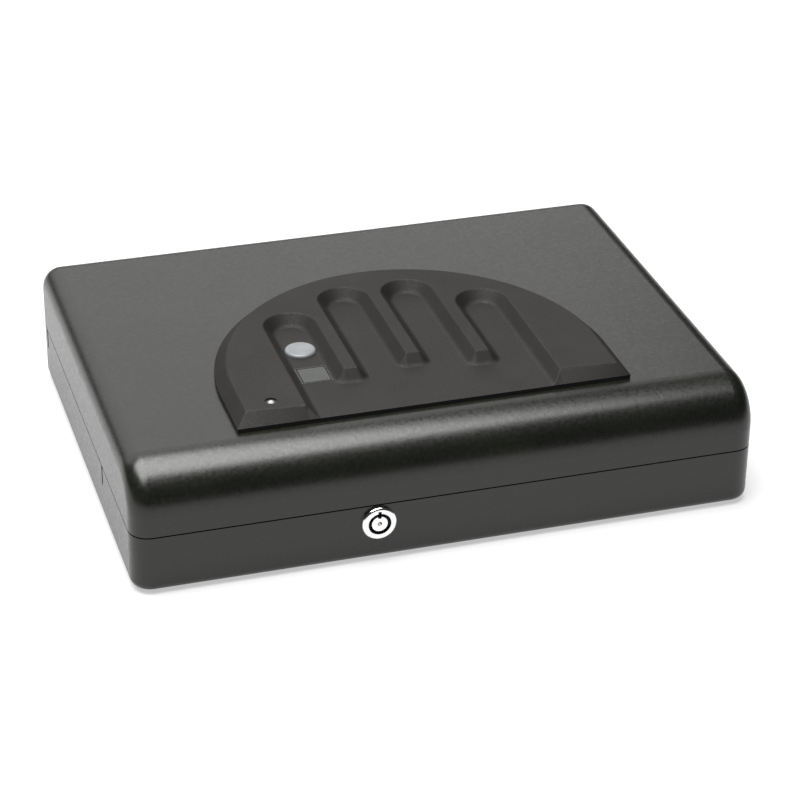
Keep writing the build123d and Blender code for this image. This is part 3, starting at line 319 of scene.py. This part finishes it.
def solder_mask():
    """Green solder mask on a glass-fibre board: glossy, with the copper tracks showing through paler."""
    f = Finish("solder_mask_green", 0.3, ior=1.55)
    pitch = 2.54 * MM
    tracks = [f.math("PINGPONG", f.axis(letter), pitch / 2) for letter in ("X", "Y")]
    gate = f.math("GREATER_THAN", f.noise(9.0, 0.0), 0.5)
    along = f.math("ADD", f.math("MULTIPLY", gate, tracks[0]),
                   f.math("MULTIPLY", f.math("SUBTRACT", 1.0, gate), tracks[1]))
    copper = f.between(along, 1.0, 0.0, 0.25 * MM, 0.4 * MM)
    f.colour(f.blend(copper, "0d3d22", "1d6238"))
    f.relief(copper, 0.03)
    return f.material


def epoxy_black():
    """Moulded black epoxy and nylon parts on the boards."""
    f = Finish("moulded_epoxy_black", 0.42, ior=1.55)
    f.colour(f.blend(f.between(f.noise(3.0), 0.0, 1.0), "141415", "1e1e1f"))
    f.rough(f.between(f.noise(0.8, 2.0), 0.34, 0.5))
    f.relief(f.noise(0.5, 2.0), 0.01)
    return f.material


def battery_can():
    """Tinned steel battery can: plain silver with a darker lacquered band at the terminal end."""
    f = Finish("lacquered_tinned_steel", 0.3, metallic=1.0)
    band_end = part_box("battery")[0].x + 12.0 * MM
    band = f.between(f.axis("X"), 1.0, 0.0, band_end, band_end + 0.1 * MM)
    f.colour(f.blend(band, f.blend(f.between(f.noise(8.0), 0.0, 1.0), "8f9296", "a7aaad"), "2c2e33"))
    f.rough(f.between(f.noise(1.5, 3.0), 0.22, 0.4))
    f.relief(f.noise(0.6, 1.0), 0.005)
    return f.material


def copper_winding():
    """Enamelled copper wire in close turns along the coil, each turn's crest painted as a highlight and the
    gaps between turns painted dark as shade.
    """
    f = Finish("enamelled_copper_winding", 0.3, metallic=1.0)
    turn = 0.6 * MM
    wire = f.math("PINGPONG", f.axis("X"), turn / 2)
    crest_bump_and_painted_highlight = f.between(wire, 0.0, 1.0, 0.0, turn / 2)
    # Painted highlight and shade: the crest of each turn is coloured bright copper, and the gap between turns
    # dark brown.
    f.colour(f.blend(crest_bump_and_painted_highlight, "5a2b12", "c07038"))
    f.relief(crest_bump_and_painted_highlight, 0.2)
    return f.material


def polyimide_film():
    """Polyimide ribbon: amber film with darker copper tracks side by side."""
    f = Finish("polyimide_ribbon", 0.3, ior=1.6)
    tracks = f.math("PINGPONG", f.axis("X"), 0.5 * MM)
    f.colour(f.blend(f.between(tracks, 1.0, 0.0, 0.2 * MM, 0.28 * MM), "b0661a", "7a3f12"))
    f.relief(f.noise(2.0), 0.01)
    return f.material


def lead_insulation():
    """PVC insulation: one red and one black lead, slightly glossy."""
    f = Finish("pvc_insulation_red_and_black", 0.35)
    low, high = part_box("battery_leads")
    middle = (low.y + high.y) / 2
    side = f.math("GREATER_THAN", f.axis("Y"), middle)
    f.colour(f.blend(side, "a01414", "151515"))
    f.relief(f.noise(0.9), 0.01)
    return f.material


finishes = {
    powder_coat: ("lid_shell", "base_shell", "rim_lip"),
    painted_sheet: ("front_deck", "hinge_arm_front", "hinge_arm_rear"),
    zinc_plate: (
        "deck_posts", "deck_screws", "hinge_bracket_front", "hinge_bracket_rear", "lock_nut", "guide_posts",
        "guide_screws", "spring_anchor", "lock_cam", "cam_screw", "catch_bar", "pad_screws", "lid_studs",
        "works_screws", "board_screws", "board_spacers", "solenoid_frame", "solenoid_plunger", "bolt_bar",
    ),
    spring_steel: (
        "hinge_pin_front", "hinge_pin_rear", "catch_spring", "bolt_spring", "cam_pin", "door_pin",
        "plunger_clip",
    ),
    lock_chrome: ("lock_housing",),
    lock_core: ("lock_plug",),
    sponge_rubber: ("pad_gasket",),
    button_plastic: ("start_button",),
    sensor_frame: ("sensor_frame",),
    sensor_glass: ("sensor_window",),
    lamp_lens: ("status_led",),
    black_abs: ("works_tray", "module_cover", "battery_door", "led_bezel"),
    moulded_rubber: ("rubber_feet",),
    solder_mask: ("control_board", "module_board"),
    epoxy_black: ("button_switch", "sensor_module", "battery_clip", "board_parts"),
    battery_can: ("battery",),
    copper_winding: ("solenoid_coil",),
    polyimide_film: ("sensor_ribbon",),
    lead_insulation: ("battery_leads",),
}
for finish, names in finishes.items():
    material = finish()
    for name in names:
        mesh = nodes[name].data
        mesh.materials.clear()
        mesh.materials.append(material)


# ================= moulded and foam sheets =================
def soft_min(a, b, rounding):
    """The lower of two heights, with the corner between them rounded over a zone of that height."""
    overlap = np.maximum(rounding - np.abs(a - b), 0.0)
    return np.minimum(a, b) - overlap**2 / (4 * rounding)


def soft_max(a, b, rounding):
    """The higher of two heights, with the corner between them rounded."""
    return -soft_min(-a, -b, rounding)


def lines_through(stops, step):
    """Grid lines from the first stop to the last, at most step apart, with a line on every stop."""
    stops = np.unique(np.round(stops, 6))
    spans = [np.linspace(a, b, max(1, math.ceil((b - a) / step)), endpoint=False)
             for a, b in zip(stops[:-1], stops[1:])]
    return np.concatenate(spans + [stops[-1:]])


def ring_round(centre, radius, xs, ys, rings):
    """Points from a circle out to a square of grid lines: straight rays from the round edge to the square."""
    bottom = np.stack([xs[:-1], np.full(len(xs) - 1, ys[0])], 1)
    right = np.stack([np.full(len(ys) - 1, xs[-1]), ys[:-1]], 1)
    top = np.stack([xs[:0:-1], np.full(len(xs) - 1, ys[-1])], 1)
    left = np.stack([np.full(len(ys) - 1, xs[0]), ys[:0:-1]], 1)
    square = np.concatenate([bottom, right, top, left])
    ray = square - centre
    circle = centre + radius * ray / np.linalg.norm(ray, axis=1, keepdims=True)
    share = np.linspace(0.0, 1.0, rings + 1)[:, None, None]
    points = circle[None] * (1 - share) + square[None] * share
    count = len(square)
    row, column = np.meshgrid(np.arange(rings), np.arange(count), indexing="ij")
    following = (column + 1) % count
    quads = np.stack([row * count + column, (row + 1) * count + column,
                      (row + 1) * count + following, row * count + following], -1)
    return points.reshape(-1, 2), quads.reshape(-1, 4)


def sheet_mesh(name, xs, ys, half_width, height, base, round_holes=(), square_holes=()):
    """A closed sheet over a plan outline, in millimetres.

    Each row y runs over x in xs, held within half_width(y). The face is at height(x, y). Its edges, also
    those of the holes, drop straight to the level base, and a flat face there closes it. Round holes are
    (centre, radius, half side of their square of grid lines), and square holes are (low x, low y, high x,
    high y).
    """
    limit = half_width(ys)[:, None]
    rows = np.broadcast_to(ys[:, None], (len(ys), len(xs)))
    plan = np.stack([np.clip(xs[None, :], -limit, limit), rows], -1)
    row, column = np.meshgrid(np.arange(len(ys) - 1), np.arange(len(xs) - 1), indexing="ij")
    wide = len(xs)
    quads = np.stack([row * wide + column, row * wide + column + 1,
                      (row + 1) * wide + column + 1, (row + 1) * wide + column], -1)
    middle_x = (xs[:-1] + xs[1:])[None, :] / 2
    middle_y = (ys[:-1] + ys[1:])[:, None] / 2
    kept = np.ones(quads.shape[:2], bool)
    boxes = [(c[0] - half, c[1] - half, c[0] + half, c[1] + half) for c, _, half in round_holes]
    for x0, y0, x1, y1 in [*boxes, *square_holes]:
        kept &= ~((middle_x > x0) & (middle_x < x1) & (middle_y > y0) & (middle_y < y1))
    points, faces = [plan.reshape(-1, 2)], [quads[kept]]
    for (centre, radius, _), (x0, y0, x1, y1) in zip(round_holes, boxes):
        near = 1e-5
        side_x = xs[(xs > x0 - near) & (xs < x1 + near)]
        side_y = ys[(ys > y0 - near) & (ys < y1 + near)]
        rings = max(2, round((x1 - x0) - radius))
        ring_points, ring_quads = ring_round(np.array(centre), radius, side_x, side_y, rings)
        faces.append(ring_quads + sum(len(p) for p in points))
        points.append(ring_points)
    flat, where = np.unique(np.round(np.concatenate(points), 5), axis=0, return_inverse=True)
    corners = where.reshape(-1)[np.concatenate(faces)]
    triangles = np.concatenate([corners[:, [0, 1, 2]], corners[:, [0, 2, 3]]])
    a, b, c = triangles.T
    triangles = triangles[(a != b) & (b != c) & (c != a)]
    used, triangles = np.unique(triangles, return_inverse=True)
    flat, triangles = flat[used], triangles.reshape(-1, 3)
    level = height(flat[:, 0], flat[:, 1])
    mesh = bpy.data.meshes.new(name)
    mesh.from_pydata(np.column_stack([flat, level]) * MM, [], triangles.tolist())

    work = bmesh.new()
    work.from_mesh(mesh)
    rim = [edge for edge in work.edges if edge.is_boundary]
    dropped = bmesh.ops.extrude_edge_only(work, edges=rim)["geom"]
    for part in dropped:
        if isinstance(part, bmesh.types.BMVert):
            part.co.z = base * MM
    low_rim = [edge for edge in work.edges if edge.is_boundary]
    bmesh.ops.triangle_fill(work, edges=low_rim, use_beauty=True)
    bmesh.ops.recalc_face_normals(work, faces=work.faces)
    work.to_mesh(mesh)
    work.free()
    shade_by_formula(mesh, height)
    piece = bpy.data.objects.new(name, mesh)
    bpy.context.scene.collection.objects.link(piece)
    return piece


def shade_by_formula(mesh, height):
    """Sets each corner's normal: by the slope of height on the face, flat on the edges and underside."""
    count = len(mesh.vertices)
    place = np.empty(count * 3)
    mesh.vertices.foreach_get("co", place)
    x, y, _ = place.reshape(-1, 3).T / MM
    reach = 0.04
    slope_x = (height(x + reach, y) - height(x - reach, y)) / (2 * reach)
    slope_y = (height(x, y + reach) - height(x, y - reach)) / (2 * reach)
    face_normal = np.empty(len(mesh.polygons) * 3)
    mesh.polygons.foreach_get("normal", face_normal)
    face_normal = face_normal.reshape(-1, 3)
    sides = np.empty(len(mesh.polygons), int)
    mesh.polygons.foreach_get("loop_total", sides)
    owner = np.repeat(np.arange(len(sides)), sides)
    corner = np.empty(len(owner), int)
    mesh.loops.foreach_get("vertex_index", corner)
    at_base = np.isclose(place.reshape(-1, 3)[corner, 2], place.reshape(-1, 3)[:, 2].min())
    curved = np.column_stack([-slope_x, -slope_y, np.ones(count)])
    curved /= np.linalg.norm(curved, axis=1, keepdims=True)
    tilt = face_normal[owner]
    on_face = (np.abs(tilt[:, 2]) > 0.5) & ~at_base
    facing = np.sign(tilt[:, 2:3])
    normals = np.where(on_face[:, None], curved[corner] * facing, tilt)
    mesh.polygons.foreach_set("use_smooth", np.ones(len(sides), bool))
    mesh.normals_split_custom_set(normals.tolist())


# ================= hand pad =================
pad_low, pad_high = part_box("hand_pad")
gasket_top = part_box("pad_gasket")[1].z / MM
pad_half = pad_high.x / MM
pad_front = pad_low.y / MM
pad_back = pad_high.y / MM
pad_top = pad_high.z / MM
pad_floor = gasket_top + 0.3
pad_shoulder = -50.0
flank_inset = 5.2
groove_pitch = 30.2
groove_half = 12.2
groove_ends = np.array([7.9, 26.1, 26.1, 7.7])
ridge_tips = (-49.9, -43.2, -49.9)
wall_run = 4.6
edge_rounding = 0.32
foot_rounding = 1.3
skew_start = 57.5
skew = 0.075
skew_middle = 70.5


def middle_of(node):
    """The middle of a node's box in plan, in millimetres."""
    low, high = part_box(node)
    return np.array([(low.x + high.x) / 2, (low.y + high.y) / 2]) / MM


def pad_half_width(y):
    """Half width of the D outline: straight, then a half-ellipse behind the shoulder."""
    reach = np.clip((y - pad_shoulder) / (pad_back - pad_shoulder), 0.0, 1.0)
    return pad_half * np.sqrt(1 - reach**2)


def inside_outline(x, y):
    """Distances in from the D outline: from its sides and rear, and from its straight front.

    Near the ellipse the distance is its level, 1 less the scaled radius, over the slope of that level.
    """
    across = x / pad_half
    along = np.maximum(y - pad_shoulder, 0.0) / (pad_back - pad_shoulder)
    level = np.hypot(across, along)
    slope = np.hypot(across / pad_half, along / (pad_back - pad_shoulder)) / np.maximum(level, 1e-9)
    from_side = (1 - level) / np.maximum(slope, 1e-9)
    return from_side, y - pad_front


def from_walls(x, y):
    """Signed distance from the raised walls round the grooves and the palm: below zero on top of them.

    It is the least of the distances to the outer walls, to each rounded ridge between two fingers, and to
    the half-round end of the groove that the point is in.
    """
    outer = 1.5 * groove_pitch + groove_half
    distance = outer - np.abs(x)
    for index, tip in enumerate(ridge_tips):
        side = np.abs(x - (index - 1) * groove_pitch) - (groove_pitch / 2 - groove_half)
        front = tip - y
        outside = np.hypot(np.maximum(side, 0), np.maximum(front, 0))
        distance = np.minimum(distance, outside + np.minimum(np.maximum(side, front), 0))
    which = np.clip(np.round(x / groove_pitch + 1.5), 0, 3).astype(int)
    centre = (which - 1.5) * groove_pitch
    start = groove_ends[which] - groove_half
    round_end = groove_half - np.hypot(x - centre, y - start)
    return np.minimum(distance, np.where(y >= start, round_end, np.inf))


def pad_height(x, y):
    """The pad's face: a flat top that slopes down to its outline and into the grooves, all corners softened.

    Past skew_start the front flank widens towards the corners, by skew for each millimetre past skew_middle.
    """
    rise = pad_top - pad_floor
    recess = pad_top - from_walls(x, y) * rise / wall_run
    from_side, from_front = inside_outline(x, y)
    outer = np.where(np.abs(x) > skew_start, x - np.sign(x) * skew_middle, 0.0)
    side_flank = pad_floor + from_side * rise / flank_inset
    front_flank = pad_floor + from_front * rise / (flank_inset - skew * outer)
    slopes = soft_min(side_flank, front_flank, edge_rounding)
    inner = soft_max(np.full_like(x, pad_floor), soft_min(recess, pad_top, edge_rounding), foot_rounding)
    return soft_min(inner, slopes, edge_rounding)


def hand_pad():
    """The pad's moulding, with holes for the button, the sensor's frame and the lamp."""
    button, lamp, sensor = (middle_of(n) for n in ("start_button", "led_bezel", "sensor_frame"))
    button_hole, lamp_hole, sensor_half = 7.3, 2.6, 7.15
    round_holes = ((button, button_hole, 9.0), (lamp, lamp_hole, 4.6))
    square_holes = ((*(sensor - sensor_half), *(sensor + sensor_half)),)
    stops = [[c[i] - half for c, _, half in round_holes] + [c[i] + half for c, _, half in round_holes]
             + [sensor[i] - sensor_half, sensor[i] + sensor_half] for i in (0, 1)]
    xs = lines_through([-pad_half, pad_half, *stops[0]], 0.5)
    rear_rows = 130
    turn = np.linspace(math.asin(-pad_shoulder / (pad_back - pad_shoulder)), math.pi / 2, rear_rows)
    rear = pad_shoulder + (pad_back - pad_shoulder) * np.sin(turn)
    ys = np.concatenate([lines_through([pad_front, 0.0, *stops[1]], 0.55)[:-1], rear])
    piece = sheet_mesh("hand_pad_moulding", xs, ys, pad_half_width, pad_height, gasket_top,
                       round_holes, square_holes)
    piece.data.materials.append(moulded_pad())
    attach(piece, "lid")
    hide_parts("hand_pad")
    return piece


hand_pad()


# ================= foam linings =================
foam = lining_foam()
foam_step = 1.0
edge_drop = 0.8
swell_height = 0.12
swell_length_x, swell_length_y = 17.0, 13.0
liner_hole, liner_hole_square = 7.0, 10.0
module_cut_half, module_cut_rear = 15.0, -3.0


def foam_lining(name, node, body, face_up, holes=(), cut=None):
    """A skived foam sheet in the room of its solid.

    Its face falls off in a quarter circle within edge of its outline and its holes, and swells by a product
    of a sine along x and a cosine along y.
    """
    low, high = (np.array(corner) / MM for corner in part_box(node))
    middle = (low + high) / 2
    half = (high - low) / 2
    back, face = (low[2], high[2]) if face_up else (high[2], low[2])
    corner = 6.0
    edge = 1.4
    thickness = face - back

    def half_width(y):
        into = np.maximum(np.abs(y - middle[1]) - (half[1] - corner), 0.0)
        return half[0] - corner + np.sqrt(np.maximum(corner**2 - into**2, 0.0))

    def height(x, y):
        side = np.minimum(half[0] - np.abs(x), half[1] - np.abs(y - middle[1]))
        for centre, radius, _ in holes:
            side = np.minimum(side, np.hypot(x - centre[0], y - centre[1]) - radius)
        if cut is not None:
            gap = np.maximum(np.maximum(cut[0] - x, x - cut[2]), y - cut[3])
            side = np.minimum(side, gap)
        into = np.clip(1 - side / edge, 0.0, 1.0)
        drop = edge * (1 - np.sqrt(1 - into**2)) * edge_drop
        swell = swell_height * (np.sin(x / swell_length_x) * np.cos(y / swell_length_y) - 1.0)
        return back + thickness + np.sign(thickness) * (swell - drop)

    stops_x = [-half[0], half[0]] + [c[0] + s * h for c, _, h in holes for s in (-1, 1)]
    stops_y = [low[1], low[1] + corner, high[1] - corner, high[1]]
    stops_y += [c[1] + s * h for c, _, h in holes for s in (-1, 1)]
    squares = ()
    if cut is not None:
        stops_x += [cut[0], cut[2]]
        stops_y += [cut[3]]
        squares = (cut,)
    xs, ys = lines_through(stops_x, foam_step), lines_through(stops_y, foam_step)
    piece = sheet_mesh(name, xs, ys, half_width, height, back, holes, squares)
    piece.data.transform(Matrix.Translation((middle[0] * MM, 0, 0)))
    piece.data.materials.append(foam)
    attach(piece, body)
    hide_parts(node)
    return piece


def mount_holes():
    """The four holes in the tray's lining, over the anchor holes of the record."""
    anchor = next(m for m in frame["record"]["mounts"] if m["name"] == "anchor_holes")
    x, y, _ = (value / MM for value in anchor["pos_m"])
    dims = anchor["dims"]
    low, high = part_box("base_liner")
    shift = (low.x + high.x) / 2 / MM
    reach_x, reach_y = dims["spacing_x_mm"] / 2, dims["spacing_y_mm"] / 2
    centres = [(x - shift + i * reach_x, y + j * reach_y) for i in (-1, 1) for j in (-1, 1)]
    return [(centre, liner_hole, liner_hole_square) for centre in centres]


liner_low, liner_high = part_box("lid_liner")
liner_shift = (liner_low.x + liner_high.x) / 2 / MM
module_middle = middle_of("module_cover")
module_cut = (module_middle[0] - module_cut_half - liner_shift, liner_low.y / MM - foam_step,
              module_middle[0] + module_cut_half - liner_shift, module_cut_rear)
foam_lining("tray_lining_foam", "base_liner", "base", True, holes=mount_holes())
foam_lining("lid_lining_foam", "lid_liner", "lid", False, cut=module_cut)


# ================= floor, light and camera =================
def floor():
    """A plain white floor, lit from below, so that the shadow round the feet stays pale and narrow."""
    half = 4.0
    mesh = bpy.data.meshes.new("studio_floor")
    corners = [(-half, -half, 0), (half, -half, 0), (half, half, 0), (-half, half, 0)]
    mesh.from_pydata(corners, [], [(0, 1, 2, 3)])
    piece = bpy.data.objects.new("studio_floor", mesh)
    bpy.context.scene.collection.objects.link(piece)
    f = Finish("backlit_opal_acrylic", 0.9, Emission_Color=linear("ffffff"), Emission_Strength=0.5)
    f.colour(f.blend(f.between(f.noise(400.0), 0.0, 1.0), "9a9a9a", "9f9f9f"))
    mesh.materials.append(f.material)


def softbox(name, middle, aim, size, brightness):
    """A rectangular soft light: brightness is its radiance, so its power is pi times its area times that."""
    light = bpy.data.lights.new(name, "AREA")
    light.shape = "RECTANGLE"
    light.size, light.size_y = size
    light.energy = math.pi * size[0] * size[1] * brightness
    lamp = bpy.data.objects.new(name, light)
    lamp.location = middle
    lamp.rotation_mode = "QUATERNION"
    lamp.rotation_quaternion = (Vector(aim) - Vector(middle)).to_track_quat("-Z", "Y")
    lamp.visible_camera = False
    bpy.context.scene.collection.objects.link(lamp)


def sky():
    """A white backdrop to the eye, and almost no light to anything else."""
    world = bpy.data.worlds.new("studio")
    bpy.context.scene.world = world
    world.use_nodes = True
    tree = world.node_tree
    tree.nodes.clear()
    seen = put(tree, "ShaderNodeBackground", {"Color": linear("ffffff"), "Strength": 1.0})
    dim = put(tree, "ShaderNodeBackground", {"Color": linear("f4f6ff"), "Strength": 0.05})
    ray = put(tree, "ShaderNodeLightPath")
    parts = {0: ray.outputs["Is Camera Ray"], 1: dim.outputs[0], 2: seen.outputs[0]}
    mix = put(tree, "ShaderNodeMixShader", parts)
    out = put(tree, "ShaderNodeOutputWorld")
    tree.links.new(mix.outputs[0], out.inputs["Surface"])


def camera():
    """Seen from the front, a little from the left and above, through a long lens with a slight roll."""
    azimuth = math.radians(-17.298)
    elevation = math.radians(29.211)
    distance = 1.18178
    roll = math.radians(0.7148)
    target = Vector((0.00266, -0.01725, 0.0262))
    back = Vector((math.sin(azimuth) * math.cos(elevation), -math.cos(azimuth) * math.cos(elevation),
                   math.sin(elevation)))
    level_right = (-back).cross(Vector((0, 0, 1))).normalized()
    level_up = level_right.cross(-back)
    right = level_right * math.cos(roll) + level_up * math.sin(roll)
    up = level_up * math.cos(roll) - level_right * math.sin(roll)
    lens = bpy.data.cameras.new("camera")
    lens.lens = 116.526
    lens.sensor_width = 36.0
    view = bpy.data.objects.new("camera", lens)
    place = Matrix((right, up, back)).transposed().to_4x4()
    place.translation = target + back * distance
    view.matrix_world = place
    bpy.context.scene.collection.objects.link(view)
    bpy.context.scene.camera = view


floor()
softbox("overhead_softbox", (-0.22, -0.05, 1.25), (-0.1, 0.0, 0.0), size=(1.2, 1.2), brightness=10.5)
softbox("rear_softbox", (-0.4, 2.4, 1.6), (0.0, 0.0, 0.3), size=(4.0, 2.0), brightness=1.4)
sky()
camera()
bpy.context.scene.view_settings.view_transform = "Standard"
